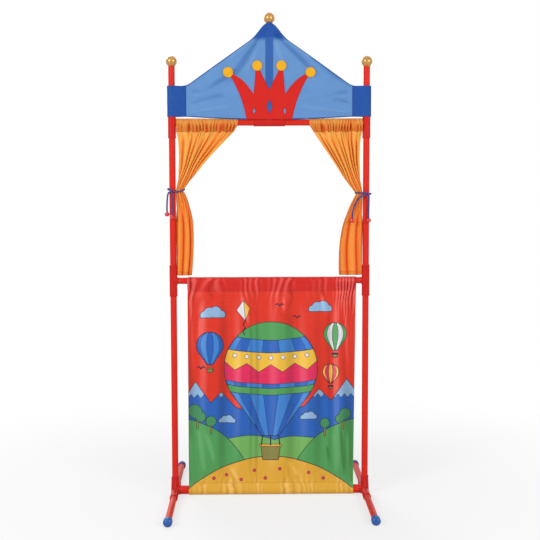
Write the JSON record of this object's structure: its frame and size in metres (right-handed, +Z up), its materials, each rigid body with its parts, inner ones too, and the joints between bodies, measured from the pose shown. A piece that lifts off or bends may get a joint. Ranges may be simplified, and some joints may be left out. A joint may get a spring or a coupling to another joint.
{
  "type": "puppet theatre stand",
  "caption": "Free-standing children's puppet theatre: a tube frame on low feet with a peaked canopy, tied-back curtains over a stage opening, and a front cloth.",
  "frame": {"origin": "on the ground, midway between the four feet", "axes": "+Z up, +X to the right as the audience sees it, the audience on the -Y side"},
  "size_m": [0.6095, 0.6, 1.4293],
  "materials": {
    "tube_red": "gloss red powder coat on steel tube",
    "connector_red": "moulded red plastic, soft gloss",
    "cap_blue": "moulded blue plastic, satin",
    "finial_gold": "satin gold paint on plastic",
    "canopy_blue": "thin woven polyester with bound edges",
    "crown_red": "red felt, sewn on",
    "disc_yellow": "yellow felt, sewn on",
    "curtain_orange": "light satin lining cloth",
    "panel_satin": "printed satin",
    "tie_cord": "soft braided cord",
    "tie_bead": "glossy round bead"
  },
  "bodies": {
    "frame": {"left_lower_upright": "tube_red", "left_upper_upright": "tube_red", "left_top_post": "tube_red", "right_lower_upright": "tube_red", "right_upper_upright": "tube_red", "right_top_post": "tube_red", "centre_pole": "tube_red", "left_top_rail": "tube_red", "right_top_rail": "tube_red", "middle_rail": "tube_red", "bottom_rail": "tube_red", "left_middle_tee": "connector_red", "right_middle_tee": "connector_red", "left_top_tee": "connector_red", "right_top_tee": "connector_red", "centre_tee": "connector_red", "left_foot_connector": "connector_red", "right_foot_connector": "connector_red", "left_front_foot": "tube_red", "left_front_foot_cap": "cap_blue", "left_rear_foot": "tube_red", "left_rear_foot_cap": "cap_blue", "right_front_foot": "tube_red", "right_front_foot_cap": "cap_blue", "right_rear_foot": "tube_red", "right_rear_foot_cap": "cap_blue", "canopy": "canopy_blue", "crown": "crown_red", "left_outer_disc": "disc_yellow", "left_inner_disc": "disc_yellow", "right_inner_disc": "disc_yellow", "right_outer_disc": "disc_yellow", "left_curtain_drape": "curtain_orange", "right_curtain_drape": "curtain_orange", "left_tie_cord": "tie_cord", "left_tie_first_bead": "tie_bead", "left_tie_second_bead": "tie_bead", "right_tie_cord": "tie_cord", "right_tie_first_bead": "tie_bead", "right_tie_second_bead": "tie_bead"},
    "left_finial": {"left_finial": "finial_gold"},
    "right_finial": {"right_finial": "finial_gold"},
    "centre_finial": {"centre_finial": "finial_gold"},
    "left_curtain": {"left_curtain_header": "curtain_orange"},
    "right_curtain": {"right_curtain_header": "curtain_orange"},
    "front_panel": {"front_panel": "panel_satin"}
  },
  "joints": [
    {"name": "left_finial_lift", "type": "slide", "parent": "frame", "child": "left_finial", "axis": [0, 0, 1], "range_m": [0, 0.03]},
    {"name": "right_finial_lift", "type": "slide", "parent": "frame", "child": "right_finial", "axis": [0, 0, 1], "range_m": [0, 0.03]},
    {"name": "centre_finial_lift", "type": "slide", "parent": "frame", "child": "centre_finial", "axis": [0, 0, 1], "range_m": [0, 0.03]},
    {"name": "left_curtain_draw", "type": "slide", "parent": "frame", "child": "left_curtain", "axis": [1, 0, 0], "range_m": [0, 0.045], "deforming": ["left_curtain_drape"]},
    {"name": "right_curtain_draw", "type": "slide", "parent": "frame", "child": "right_curtain", "axis": [-1, 0, 0], "range_m": [0, 0.07], "deforming": ["right_curtain_drape"]},
    {"name": "front_panel_shift", "type": "slide", "parent": "frame", "child": "front_panel", "axis": [1, 0, 0], "range_m": [-0.02, 0.01]}
  ]
}
